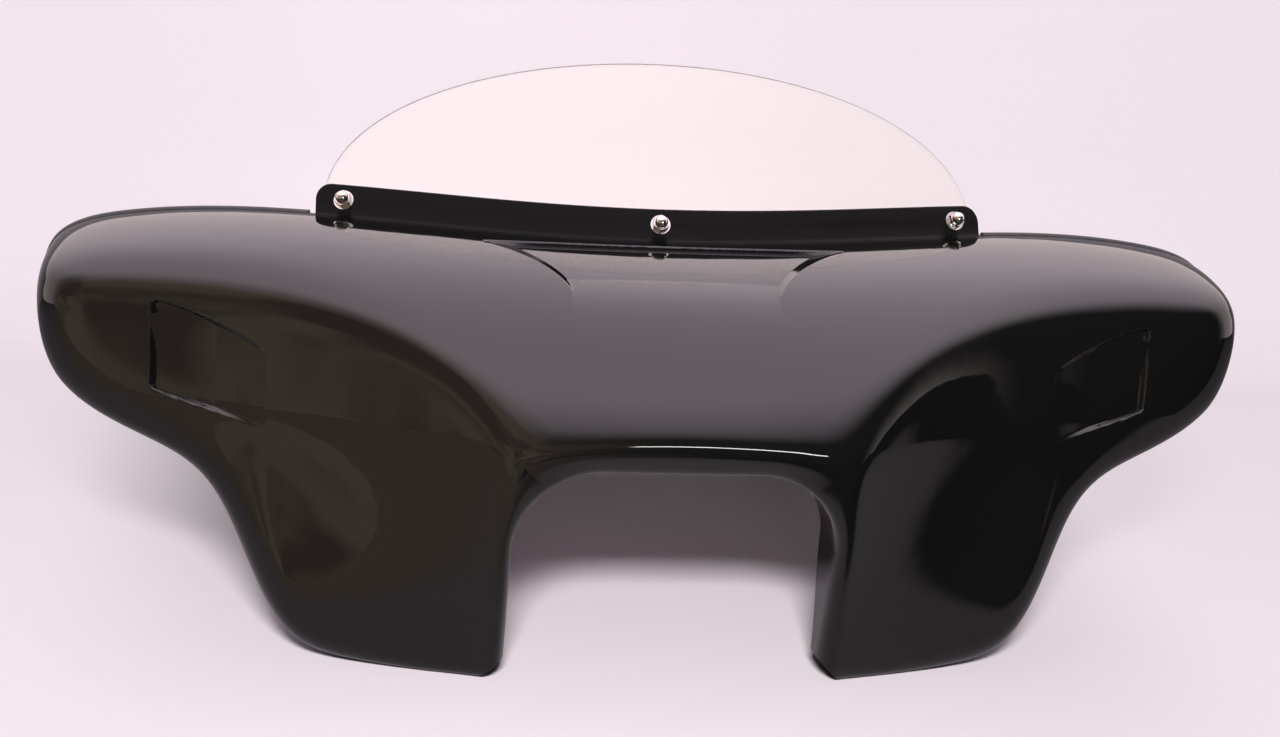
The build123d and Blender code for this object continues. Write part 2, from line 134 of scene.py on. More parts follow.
# Windshield, lip and acorn nuts
lean = math.radians(28)
lip_height = 22.0
lip_half = 256.0
lip_end_radius = 12.0
gasket_thickness = 1.5
windshield_thickness = 3.0
windshield_half = 250.0
windshield_height = 104.0
windshield_shoulder = 8.0
sheet_foot = 2.0
fit_gap = 0.1
bolt_spacing = 235.0
bolt_rise = 11.0
nut_across = 11.0
nut_height = 5.0
nut_cap_diameter = 9.6
washer_thickness = 1.5
trim_diameter = 6.4
trim_gap = 0.4
trim_start = 262.0
trim_finish = 404.0

# How finely the pieces are drawn
solve_turns = 44
scale_limit = 4.0
normal_nudge = 0.4
least_length = 1e-9
bend_crowding = 20.0
hood_rib_spacing = 1.5
skin_columns = 200
skin_stations = 900
inside_columns = 36
inside_stations = 160
lip_columns = 241
windshield_columns = 161
windshield_rows = 40
nut_facets = 72
dome_rings = 9
trim_stations = 400
trim_rings = 160
trim_facets = 20

half_width = overall_width / 2
half_opening = opening_width / 2
half_crease = half_opening + band_width
leg_outer = half_opening + leg_width
lean_share = 1 / math.cos(lean)
fan_x = half_opening / 2
fan_z = 0.45 * opening_height


def ease(low, high, value):
    u = np.clip((value - low) / (high - low), 0, 1)
    return u * u * (3 - 2 * u)


def soft_max(a, b, blend):
    h = np.maximum(blend - np.abs(a - b), 0) / blend
    return np.maximum(a, b) + h ** 3 * blend / 6


def logistic(value):
    return 1 / (1 + np.exp(-value))


def rear_line(x):
    u = np.minimum(np.abs(x) / rear_bow_reach, 1)
    return hood_depth + rear_bow * u * u * (2 - u * u)


def top_height(x):
    u = np.abs(x) / half_width
    return hood_height + top_crown * u * u - top_fall * u ** 4


def under_height(x):
    step = logistic((x - leg_outer) / leg_flare)
    soft = leg_flare * np.logaddexp(0, (x - leg_outer) / leg_flare - leg_flare_reach)
    return leg_rise * step + wing_underside_slope * soft


def under_slope(x):
    step = logistic((x - leg_outer) / leg_flare)
    past = logistic((x - leg_outer) / leg_flare - leg_flare_reach)
    return leg_rise * step * (1 - step) / leg_flare + wing_underside_slope * past


def tuck(z):
    return leg_tuck * np.maximum(1 - z / nose_height, 0) ** tuck_power


def outside_opening(x, z, half, top, radius):
    qx = np.abs(x) - (half - radius)
    qz = z - (top - radius)
    return np.hypot(np.maximum(qx, 0), np.maximum(qz, 0)) + np.minimum(np.maximum(qx, qz), 0) - radius


def hood_distance(x, y, z):
    reach = hood_depth / hood_fullness
    fall = (hood_height - nose_height) / (1 - math.sqrt(1 - hood_fullness ** 2))
    forward = np.maximum(rear_line(x) - y, 0) / reach
    upward = np.maximum(z - top_height(x) + fall, 0) / fall
    return (np.hypot(forward, upward) - 1) * reach


def wing_distance(x, y, z):
    share = leg_sweep_share + (1 - leg_sweep_share) * ease(0, nose_height, z)
    fade = np.exp(-(np.abs(x) - half_opening) / wing_curl)
    face = wing_set_back + tuck(z) + wing_sweep * share * (1 - fade)
    slope = wing_sweep * share * fade / wing_curl
    return (face - y) / np.hypot(1, slope)


def outline_distance(x, z):
    side = np.abs(x)
    under = (under_height(side) - z) / np.hypot(1, under_slope(side))
    return soft_max(under, side - half_width, tip_blend)


def front_distance(x, y, z):
    spread = ease(half_opening, half_opening + wing_curl, np.abs(x))
    blend = ridge_blend_nose + (ridge_blend_wing - ridge_blend_nose) * spread
    return soft_max(hood_distance(x, y, z), wing_distance(x, y, z), blend)


def band_distance(x, y, z):
    inner = outside_opening(x, z, half_opening, opening_height, opening_radius)
    crease = outside_opening(x, z, half_crease, opening_height + band_height, crease_radius)
    share = inner / np.maximum(inner - crease, 1)
    return (band_set_back + tuck(z) + band_depth * (1 - share) - y) * band_steepness


def rim_distance(x, y, z):
    spread = ease(half_opening + leg_width / 4, leg_outer + leg_flare, np.abs(x))
    blend = rim_blend_leg + (rim_blend_wing - rim_blend_leg) * spread
    return soft_max(front_distance(x, y, z), outline_distance(x, z), blend)


def scoop_sink(x, y):
    """How far the vent's floor lies below the hood, with slanting cheeks and an upright rear wall."""
    v = (y - hood_depth + scoop_front) / (scoop_front - scoop_rear)
    depth = scoop_depth * ease(-scoop_entry, scoop_settle, v)
    half = scoop_floor_front + (scoop_floor_rear - scoop_floor_front) * np.clip(v, 0, 1)
    flare = (scoop_mouth_rear - scoop_floor_rear) * np.clip(v, 0, 1) ** scoop_flare_power + wall_softness
    cheek = np.clip((half + flare - np.abs(x)) / flare, 0, 1)
    wall_at = 1 - ease(-wall_softness / 2, wall_softness / 2, y - hood_depth + scoop_rear)
    return depth * cheek * wall_at


def recess_sink(x, z):
    """How far the wedge recess lies behind the wing's face, in the front view."""
    v = (np.abs(x) - recess_outer + recess_length) / recess_length
    inward = np.clip(1 - v, 0, 1)
    low = recess_low - recess_low_slant * inward
    high = recess_low + recess_height - recess_high_slant * inward ** recess_slant_power
    depth = np.maximum((recess_depth + recess_fade) * v - recess_fade, 0)
    inside = np.minimum(z - low, high - z)
    edges = ease(-edge_softness / 2, edge_softness / 2, inside)
    outer_wall = 1 - ease(-recess_wall / 2, recess_wall / 2, np.abs(x) - recess_outer)
    return depth * edges * outer_wall


def skin_distance(x, y, z):
    body = soft_max(rim_distance(x, y, z), band_distance(x, y, z), crease_blend)
    inner = outside_opening(x, z, half_opening, opening_height, opening_radius)
    return soft_max(body, -inner, edge_blend)


def dressed_skin(x, y, z):
    return skin_distance(x, y, z) + scoop_sink(x, y) + recess_sink(x, z)


def flange_rear(z):
    depth = flange_depth_low + (flange_depth - flange_depth_low) * ease(0, flange_full_height, z)
    return band_set_back + band_depth + tuck(z) + depth


def rim_rear(x, z):
    return rear_line(x) - rear_edge_tuck * np.maximum(1 - z / hood_height, 0) ** rear_tuck_power


def solve(inside, outside, distance):
    """Where a distance turns from negative to positive, halving the way between two places."""
    for turn in range(solve_turns):
        middle = (inside + outside) / 2
        within = distance(middle) < 0
        inside = np.where(within, middle, inside)
        outside = np.where(within, outside, middle)
    return (inside + outside) / 2


def fan_angle(x, z):
    return math.atan2(x - fan_x, z - fan_z)


class Ribs:
    """A row of upright section planes, seen edge on from the front."""

    def __init__(self, start, angle):
        self.start = np.asarray(start, float)
        self.across = np.sin(angle)
        self.upward = np.cos(angle)

    def place(self, along, y):
        shape = (-1,) + (1,) * (np.ndim(along) - 1)
        x = self.start.reshape(shape) + self.across.reshape(shape) * along
        z = fan_z + self.upward.reshape(shape) * along
        return x, y, z

    def near(self, inset):
        def inner_side(along):
            x, y, z = self.place(along, 0)
            return outside_opening(x, z, half_opening, opening_height, opening_radius) - inset

        return solve(np.zeros_like(self.start), np.full_like(self.start, 2 * half_width), inner_side)

    def far(self, inset):
        def outer_side(along):
            x, y, z = self.place(along, 0)
            return rim_distance(x, rim_rear(x, z), z) + inset

        return solve(self.near(inset), np.full_like(self.start, 2 * half_width), outer_side)

    def sections(self, inset, skin, dense, count):
        """Points along each section from the cut-out's rear edge to the rim's.

        The points lie closer together where the section bends.
        """
        near, far = self.near(inset), self.far(inset)
        y_near = flange_rear(self.place(near, 0)[2])
        x_far, y, z_far = self.place(far, 0)
        y_far = rim_rear(x_far, z_far)
        turn = np.pi * np.arange(dense + 1) / dense
        along = -np.cos(turn) * (far - near)[:, None] / 2
        back = -np.cos(turn) * (y_far - y_near)[:, None] / 2 - np.sin(turn) * hood_depth / 2
        middle = ((near + far) / 2)[:, None]
        depth = ((y_near + y_far) / 2)[:, None]

        def beyond(scale):
            x, y, z = self.place(middle + along * scale, depth + back * scale)
            return skin(x, y, z) + inset

        scale = solve(np.zeros_like(along), np.full_like(along, scale_limit), beyond)
        scale[:, [0, -1]] = 1
        points = np.stack(self.place(middle + along * scale, depth + back * scale), -1)
        chords = np.diff(points, axis=1)
        steps = np.linalg.norm(chords, axis=2)
        ways = chords / np.maximum(steps, least_length)[..., None]
        bends = np.arccos(np.clip((ways[:, 1:] * ways[:, :-1]).sum(-1), -1, 1))
        steps[:, 1:] += bend_crowding * bends
        lengths = np.concatenate([np.zeros((len(steps), 1)), np.cumsum(steps, axis=1)], axis=1)
        rows = []
        for run, length in zip(points, lengths):
            stations = np.linspace(0, length[-1], count)
            rows.append(np.stack([np.interp(stations, length, run[:, axis]) for axis in range(3)], -1))
        return np.array(rows)


def surface_normals(points, skin):
    """Outward normals of the skin at points on it."""
    slopes = []
    for axis in range(3):
        offset = np.zeros(3)
        offset[axis] = normal_nudge
        ahead = skin(*np.moveaxis(points + offset, -1, 0))
        behind = skin(*np.moveaxis(points - offset, -1, 0))
        slopes.append(ahead - behind)
    normals = np.stack(slopes, -1)
    return normals / np.maximum(np.linalg.norm(normals, axis=-1, keepdims=True), least_length)


def grid_faces(rows, columns, first=0):
    """Quads of a grid of points stored row by row."""
    index = first + np.arange(rows * columns).reshape(rows, columns)
    corners = [index[:-1, :-1], index[1:, :-1], index[1:, 1:], index[:-1, 1:]]
    return np.stack(corners, -1).reshape(-1, 4)


def add_piece(name, points, faces, material, nodes, normals=None, sharp=None):
    """A mesh piece from drawing points, placed in the frame inside the CAD box, riding on the fairing."""
    mesh = bpy.data.meshes.new(name)
    placed = np.asarray(points, float).reshape(-1, 3) * MM + np.array(to_frame)
    placed = np.clip(placed, np.array(cad_box[0]), np.array(cad_box[1]))
    mesh.from_pydata(placed.tolist(), [], [list(map(int, face)) for face in faces])
    mesh.polygons.foreach_set("use_smooth", [True] * len(mesh.polygons))
    if normals is not None:
        mesh.normals_split_custom_set_from_vertices(np.asarray(normals).reshape(-1, 3).tolist())
    if sharp is not None:
        mesh.set_sharp_from_angle(angle=math.radians(sharp))
    mesh.materials.append(material)
    piece = bpy.data.objects.new(name, mesh)
    scene.collection.objects.link(piece)
    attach(piece, "root")
    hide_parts(*nodes)
    return piece


class Value:
    """A shader socket with arithmetic."""

    def __init__(self, tree, socket):
        self.tree = tree
        self.socket = socket

    def math(self, operation, *others, flip=False):
        inputs = [self, *others]
        if flip:
            inputs.reverse()
        return node(self.tree, "ShaderNodeMath", {"operation": operation}, dict(enumerate(inputs)))

    def __add__(self, other):
        return self.math("ADD", other)

    __radd__ = __add__

    def __mul__(self, other):
        return self.math("MULTIPLY", other)

    __rmul__ = __mul__

    def __sub__(self, other):
        return self.math("SUBTRACT", other)

    def __rsub__(self, other):
        return self.math("SUBTRACT", other, flip=True)


def node(tree, kind, settings, sockets, output=0):
    """A node of a kind, with its settings made first, then its sockets' values or links."""
    made = tree.nodes.new(kind)
    for key, value in settings.items():
        setattr(made, key, value)
    for key, value in sockets.items():
        socket = made.inputs[key]
        if isinstance(value, Value):
            tree.links.new(value.socket, socket)
        else:
            socket.default_value = value
    return Value(tree, made.outputs[output])


def noise(tree, scale, detail=3.0):
    place = node(tree, "ShaderNodeTexCoord", {}, {}, "Object")
    return node(tree, "ShaderNodeTexNoise", {}, {"Vector": place, "Scale": scale, "Detail": detail})


def ramp(tree, value, start, finish):
    sockets = {"Value": value, "From Min": start, "From Max": finish, "To Min": 0.0, "To Max": 1.0}
    return node(tree, "ShaderNodeMapRange", {"interpolation_type": "SMOOTHSTEP"}, sockets)


def mix_colours(tree, share, first, second):
    return node(tree, "ShaderNodeMix", {"data_type": "RGBA"}, {0: share, 6: first, 7: second}, 2)


def tint(scale, first, second):
    """A colour that drifts between two shades over the surface."""
    return lambda tree: mix_colours(tree, noise(tree, scale), (*first, 1), (*second, 1))


def drift(least, reach, scale):
    """A value that drifts upward from its least over the surface."""
    return lambda tree: least + reach * noise(tree, scale)


def grain(scale, detail, strength, distance):
    """A slight waviness or grain of the surface."""

    def bump(tree):
        sockets = {"Strength": strength, "Distance": distance, "Height": noise(tree, scale, detail)}
        return node(tree, "ShaderNodeBump", {}, sockets)

    return bump


def finish_of(name, constants, varied):
    """A material whose varied sockets come from functions of its node tree."""
    material = bpy.data.materials.new(name)
    material.use_nodes = True
    tree = material.node_tree
    shader = tree.nodes["Principled BSDF"]
    for key, value in constants.items():
        shader.inputs[key].default_value = value
    for key, make in varied.items():
        tree.links.new(make(tree).socket, shader.inputs[key])
    return material


gelcoat = finish_of(
    "gloss_black_gelcoat",
    {"IOR": 1.5},
    {
        "Base Color": tint(5.0, (0.0035, 0.0034, 0.0036), (0.006, 0.0056, 0.0056)),
        "Roughness": drift(0.03, 0.035, 7.0),
        "Normal": grain(22.0, 2.0, 0.06, 0.004),
    },
)
lip_black = finish_of(
    "satin_black_lip",
    {"IOR": 1.5, "Specular IOR Level": 0.03},
    {
        "Base Color": tint(9.0, (0.004, 0.004, 0.0042), (0.0065, 0.006, 0.006)),
        "Roughness": drift(0.1, 0.08, 14.0),
    },
)
tray_plastic = finish_of(
    "satin_black_tray",
    {},
    {
        "Base Color": tint(30.0, (0.012, 0.012, 0.012), (0.022, 0.021, 0.021)),
        "Roughness": drift(0.42, 0.16, 60.0),
        "Normal": grain(900.0, 3.0, 0.12, 0.0006),
    },
)
acrylic = finish_of(
    "clear_acrylic",
    {"Transmission Weight": 1.0, "IOR": 1.45},
    {
        "Base Color": tint(3.0, (0.985, 0.97, 0.925), (0.975, 0.955, 0.9)),
        "Roughness": drift(0.004, 0.008, 12.0),
    },
)
acrylic_edge = finish_of(
    "cut_acrylic_edge",
    {"IOR": 1.45},
    {
        "Base Color": tint(40.0, (0.11, 0.11, 0.105), (0.3, 0.3, 0.28)),
        "Roughness": drift(0.3, 0.2, 90.0),
    },
)
rubber = finish_of(
    "black_rubber",
    {},
    {
        "Base Color": tint(80.0, (0.012, 0.012, 0.012), (0.028, 0.027, 0.027)),
        "Roughness": drift(0.42, 0.2, 120.0),
    },
)
bright_metal = finish_of(
    "polished_fasteners",
    {"Metallic": 1.0},
    {
        "Base Color": tint(200.0, (0.5, 0.48, 0.46), (0.62, 0.6, 0.58)),
        "Roughness": drift(0.1, 0.14, 260.0),
    },
)
steel = finish_of(
    "plated_steel",
    {"Metallic": 1.0},
    {
        "Base Color": tint(300.0, (0.58, 0.57, 0.55), (0.74, 0.73, 0.71)),
        "Roughness": drift(0.24, 0.16, 300.0),
    },
)

for name, finish in {
    "inner_tray": tray_plastic,
    "windshield_gasket": rubber,
    "soft_washers": rubber,
    "windshield_bolts": steel,
    "nut_washers": bright_metal,
    "rim_screws": steel,
    "rim_screw_nuts": steel,
}.items():
    cad_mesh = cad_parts[name].data
    cad_mesh.materials.clear()
    cad_mesh.materials.append(finish)


def right_half_ribs():
    """Close together across the vent and the recess, wider apart elsewhere."""
    corner = fan_angle(half_opening, leg_corner_cut)
    stops = [0, math.radians(22), math.radians(50), math.radians(78), corner]
    counts = [60, 50, 96, 100]
    runs = []
    for first, last, count in zip(stops, stops[1:], counts):
        runs.append(np.linspace(first, last, count, endpoint=False))
    fan = np.append(np.concatenate(runs), corner)
    hood = np.arange(0, fan_x, hood_rib_spacing)
    start = np.concatenate([hood, np.full(len(fan), fan_x)])
    return Ribs(start, np.concatenate([np.zeros(len(hood)), fan]))


right_ribs = right_half_ribs()
outer_skin = right_ribs.sections(0, dressed_skin, skin_stations, skin_columns)
inner_skin = right_ribs.sections(wall, skin_distance, inside_stations, inside_columns)
outer_normals = surface_normals(outer_skin, dressed_skin)
inner_normals = -surface_normals(inner_skin, skin_distance)

# The drawing's place in the frame
crown = hood_height + lip_height + windshield_height
to_frame = (
    0.0,
    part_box("outer_shell")[0].y - outer_skin[..., 1].min() * MM,
    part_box("windshield")[1].z - crown * MM,
)


def shell_half(name, side):
    """Outer skin, rear rims and inner skin of one half, with the leg's corner closed."""
    mirror = np.array([side, 1, 1])
    rib_count = len(outer_skin)
    outer = outer_skin.reshape(-1, 3)
    inner = inner_skin.reshape(-1, 3)
    rims = [outer_skin[:, 0], inner_skin[:, 0], outer_skin[:, -1], inner_skin[:, -1]]
    points = np.concatenate([outer, inner, *rims, outer_skin[-1]])
    inner_first = len(outer)
    rim_first = inner_first + len(inner)
    cap_first = rim_first + 4 * rib_count
    faces = grid_faces(rib_count, skin_columns).tolist()
    faces += grid_faces(rib_count, inside_columns, inner_first)[:, ::-1].tolist()
    for pair, flip in ((0, False), (2, True)):
        for j in range(rib_count - 1):
            a = rim_first + pair * rib_count + j
            quad = [a, a + rib_count, a + rib_count + 1, a + 1]
            faces.append(quad[::-1] if flip else quad)
    faces.append(list(range(cap_first, cap_first + skin_columns)))
    rear_normal = np.tile([0.0, 1.0, 0.0], (4 * rib_count, 1))
    section = outer_skin[-1] - outer_skin[-2]
    end = section.mean(0) / np.linalg.norm(section.mean(0))
    cap_normal = np.tile(end, (skin_columns, 1))
    skin_normals = [outer_normals.reshape(-1, 3), inner_normals.reshape(-1, 3)]
    normals = np.concatenate([*skin_normals, rear_normal, cap_normal])
    if side < 0:
        faces = [face[::-1] for face in faces]
    return add_piece(name, points * mirror, faces, gelcoat, ["outer_shell"], normals * mirror)


shell_half("shell_right", 1)
shell_half("shell_left", -1)


def lip_rise(x):
    """Height of the lip above the rear edge, rounded down at its ends."""
    past = np.clip(np.abs(x) - lip_half + lip_end_radius, 0, lip_end_radius)
    return lip_height - lip_end_radius + np.sqrt(np.maximum(lip_end_radius ** 2 - past ** 2, 0))


def lean_place(x, rise, offset):
    """Place on a leaning sheet: offset behind the lip's back face, measured through the sheet."""
    y = rear_line(x) + offset * lean_share + rise * math.tan(lean)
    return np.stack([x, y, top_height(x) + rise], -1)


def lip():
    """The upright lip in front of the windshield's foot, with a fillet at its root and rounded edges."""
    turn = np.linspace(-1, 1, lip_columns)
    x = lip_half * np.sin(turn * math.pi / 2)
    rise = lip_rise(x)
    round_off = 1.1
    nick = 0.3 * round_off
    fillet = 3.0
    foot = np.full_like(x, -wall / 2)
    root = foot + wall / 2
    profile = [
        (foot, -wall - 1.6 * fillet),
        (root + 0.2, -wall - fillet),
        (root + 0.9, -wall - 0.35 * fillet),
        (root + fillet, -wall),
        (rise / 2, -wall),
        (rise - round_off, -wall),
        (rise - nick, -wall + nick),
        (rise, -wall + round_off),
        (rise, -round_off),
        (rise - nick, -nick),
        (rise - round_off, 0),
        (rise / 2, 0),
        (foot, 0),
    ]
    rows = [lean_place(x, height, np.full_like(x, offset)) for height, offset in profile]
    points = np.concatenate(rows)
    faces = grid_faces(len(rows), len(x))[:, ::-1].tolist()
    for column in (0, len(x) - 1):
        faces.append([row * len(x) + column for row in range(len(rows))])
    return add_piece("windshield_lip", points, faces, lip_black, ["outer_shell"], sharp=50)


lip()


def windshield():
    """The bent clear sheet, rising to an arch, with its rim in the cut edge's finish."""
    turn = np.linspace(-1, 1, windshield_columns)
    x = windshield_half * np.sin(turn * math.pi / 2)
    shoulder = top_height(windshield_half) + windshield_shoulder
    arch = shoulder + (crown - shoulder) * np.sqrt(np.maximum(1 - (x / windshield_half) ** 2, 0))
    top = arch - top_height(x)
    bevel = 0.6
    front = 2 * fit_gap + gasket_thickness
    back = front + windshield_thickness
    upright = np.linspace(0, 1, windshield_rows)

    def across(rise, offset):
        return lean_place(x, rise, np.full_like(x, offset))

    def part_way(share):
        return sheet_foot + (top - bevel - sheet_foot) * share

    rows = [across(part_way(share), front) for share in upright]
    rows += [across(top, front + bevel), across(top, back - bevel)]
    rows += [across(part_way(share), back) for share in upright[::-1]]
    points = np.concatenate(rows)
    count = len(rows)
    faces = []
    for row in range(count):
        for column in range(len(x) - 1):
            a = row * len(x) + column
            b = (row + 1) % count * len(x) + column
            faces.append([a, a + 1, b + 1, b])
    for column in (0, len(x) - 1):
        ring = [row * len(x) + column for row in range(count)]
        faces.append(ring if column == 0 else ring[::-1])
    piece = add_piece("clear_windshield", points, faces, acrylic, ["windshield"], sharp=40)
    piece.data.materials.append(acrylic_edge)
    columns = len(x) - 1
    for index in range((len(upright) - 1) * columns, (len(upright) + 2) * columns):
        piece.data.polygons[index].material_index = 1
    return piece


windshield()


def tube_faces(rings, count):
    """Quads between rings of points stored one after another, and a face at each end."""
    faces = []
    for ring in range(rings - 1):
        for j in range(count):
            k = (j + 1) % count
            here = ring * count
            there = here + count
            faces.append([here + j, here + k, there + k, there + j])
    faces.append(list(range(count))[::-1])
    faces.append([(rings - 1) * count + j for j in range(count)])
    return faces


def lathe(rings, around):
    """Points and faces of a ring-built form about +Z, closed at both ends."""
    points = []
    for radius, height in rings:
        for angle in around:
            size = radius(angle) if callable(radius) else radius
            points.append((size * math.cos(angle), size * math.sin(angle), height))
    return np.array(points), tube_faces(len(rings), len(around))


def bolt_frame(x):
    """Place and axes at a windshield bolt, on the lip's front face, facing forward."""
    across = np.array([2, rear_line(x + 1) - rear_line(x - 1), top_height(x + 1) - top_height(x - 1)])
    across /= np.linalg.norm(across)
    up = np.array([0, math.sin(lean), math.cos(lean)])
    forward = np.cross(across, up)
    forward /= np.linalg.norm(forward)
    place = lean_place(np.array(x), bolt_rise, -wall)
    return place, np.stack([across, np.cross(forward, across), forward])


def acorn_nuts():
    """Hexagon nuts with domed caps, in front of the lip."""
    flat = nut_across / 2
    cap = nut_cap_diameter / 2
    eased_share = 1.06
    foot_chamfer = 0.5
    top_chamfer = 0.7
    cap_rise = 1
    dome_share = 0.98

    def hexagon(angle):
        return flat / math.cos((angle + math.pi / 6) % (math.pi / 3) - math.pi / 6)

    def eased(angle):
        return min(hexagon(angle), eased_share * flat)

    seat = fit_gap + washer_thickness
    top = seat + nut_height
    rings = [(eased, seat), (hexagon, seat + foot_chamfer), (hexagon, top - top_chamfer), (eased, top)]
    rings += [(cap, top), (cap, top + cap_rise)]
    for step in range(1, dome_rings + 1):
        turn = step / dome_rings * math.pi / 2 * dome_share
        rings.append((cap * math.cos(turn), top + cap_rise + cap * math.sin(turn)))
    around = [2 * math.pi * j / nut_facets for j in range(nut_facets)]
    shape, shape_faces = lathe(rings, around)
    points, faces = [], []
    for x in (-bolt_spacing, 0.0, bolt_spacing):
        place, axes = bolt_frame(x)
        first = len(points) * len(shape)
        faces += [[first + i for i in face] for face in shape_faces]
        points.append(place + shape @ axes)
    points = np.concatenate(points)
    return add_piece("acorn_cap_nuts", points, faces, bright_metal, ["acorn_nuts"], sharp=32)


acorn_nuts()


def edge_trim(name, side, cad_node):
    """Rubber bead behind the wing's rear edge."""
    start = fan_angle(trim_start, top_height(trim_start))
    finish = fan_angle(trim_finish, under_height(trim_finish))
    angles = np.linspace(start, finish, trim_stations)
    ribs = Ribs(np.full(len(angles), fan_x), angles)
    x, y, z = ribs.place(ribs.far(wall / 2), 0)
    run = np.stack([x, rim_rear(x, z) + trim_diameter / 2 + trim_gap, z], -1)
    length = np.concatenate([[0], np.cumsum(np.linalg.norm(np.diff(run, axis=0), axis=1))])
    stations = np.linspace(0, length[-1], trim_rings)
    run = np.stack([np.interp(stations, length, run[:, axis]) for axis in range(3)], -1)
    along = np.gradient(run, axis=0)
    along /= np.linalg.norm(along, axis=1, keepdims=True)
    rearward = np.array([0.0, 1.0, 0.0]) - along * along[:, [1]]
    rearward /= np.linalg.norm(rearward, axis=1, keepdims=True)
    sideways = np.cross(along, rearward)
    turns = np.linspace(0, 2 * math.pi, trim_facets, endpoint=False)
    radius = trim_diameter / 2
    rings = [run + radius * (math.cos(t) * rearward + math.sin(t) * sideways) for t in turns]
    points = np.stack(rings, 1).reshape(-1, 3) * np.array([side, 1, 1])
    faces = tube_faces(len(run), len(turns))
    if side < 0:
        faces = [face[::-1] for face in faces]
    return add_piece(name, points, faces, rubber, [cad_node], sharp=50)


edge_trim("rubber_trim_right", 1, "edge_trim_right")
edge_trim("rubber_trim_left", -1, "edge_trim_left")


def ray(tree, kind):
    """One where the light path is of a kind, else nought."""
    return node(tree, "ShaderNodeLightPath", {}, {}, kind)


def part_of(tree, vector, axis):
    return node(tree, "ShaderNodeSeparateXYZ", {}, {"Vector": vector}, axis)


def paper():
    """Matt paper, faintly pink. Reflections see painted colours on it, and bounced light sees it dark,
    which is painted shade. Its sides and back glow with painted light that lifts the shadow, over a dimmed
    side tone.
    """
    pale = tint(1.3, (0.92, 0.815, 0.88), (0.945, 0.85, 0.91))
    # Paper at the sides dimmed under the painted glow, so lit and shadowed paper there come out alike.
    side_tone = (0.2, 0.176, 0.19, 1)
    # Painted shade: to bounced light the paper is dark, so the shade behind the fairing falls deeper.
    bounce_tone = (0.1, 0.09, 0.095, 1)
    # Painted reflection: what the shell's reflections see of the paper, a dim floor, a warm brown room on
    # the left and darkness on the right.
    reflected_floor = (0.42, 0.37, 0.4, 1)
    reflected_left = (0.44, 0.33, 0.24, 1)
    reflected_right = (0.02, 0.02, 0.02, 1)
    no_glow = (0, 0, 0, 1)
    # Painted light: the paper behind and at the sides glows for the camera and through the windshield,
    # though no lamp is there, to lift the shadow.
    back_glow = (0.22, 0.17, 0.2, 1)
    side_glow = (0.92, 0.81, 0.88, 1)

    def place(tree, axis):
        return part_of(tree, node(tree, "ShaderNodeTexCoord", {}, {}, "Object"), axis)

    def through(tree):
        return ray(tree, "Is Transmission Ray")

    def beside(tree):
        return ramp(tree, place(tree, "X").math("ABSOLUTE"), 0.2, 0.5)

    def tone(tree):
        across = place(tree, "X")
        under = place(tree, "Y") - 0.1 * across.math("ABSOLUTE")
        # Painted reflection, chosen by where the reflected ray meets the paper.
        ahead = mix_colours(tree, ramp(tree, across, 0.1, -0.2), reflected_right, reflected_left)
        reflected = mix_colours(tree, ramp(tree, under, -0.2, -0.15), ahead, reflected_floor)
        plain = mix_colours(tree, beside(tree), pale(tree), side_tone)
        seen = mix_colours(tree, ray(tree, "Is Glossy Ray") * (1.0 - through(tree)), plain, reflected)
        # Painted shade: bounced light sees the paper in its dark tone.
        return mix_colours(tree, ray(tree, "Is Diffuse Ray"), seen, bounce_tone)

    # Painted light: a glow on the paper's sides and back, seen by the camera and through the windshield.
    def glow(tree):
        seen = ray(tree, "Is Camera Ray") + through(tree)
        behind = ramp(tree, place(tree, "Y"), 0.75, 1.3)
        far = mix_colours(tree, behind * seen, no_glow, back_glow)
        return mix_colours(tree, beside(tree) * seen, far, side_glow)

    constants = {"Roughness": 1.0, "Specular IOR Level": 0.0, "Emission Strength": 0.8}
    return finish_of("pale_paper", constants, {"Base Color": tone, "Emission Color": glow})


def paper_stage():
    """A sheet of paper on the floor, folded up into a wall behind the fairing."""
    fold = 1.3
    tall = 0.6
    bend = 0.25
    half = 2.4
    front = -0.3
    bend_steps = 12
    floor = [(-half, front), (half, front)]
    profile = []
    for turn in np.linspace(0, math.pi / 2, bend_steps):
        profile.append((fold - bend + bend * math.sin(turn), bend - bend * math.cos(turn)))
    profile.append((fold, tall))
    points = [(x, y, 0.0) for x, y in floor]
    faces = [[0, 1, 3, 2]]
    for y, z in profile:
        points += [(-half, y, z), (half, y, z)]
    for j in range(len(profile) - 1):
        row = len(floor) + 2 * j
        faces.append([row, row + 1, row + 3, row + 2])
    mesh = bpy.data.meshes.new("paper_stage")
    mesh.from_pydata(points, [], faces)
    mesh.materials.append(paper())
    stage = bpy.data.objects.new("paper_stage", mesh)
    stage.location = ground
    scene.collection.objects.link(stage)


paper_stage()


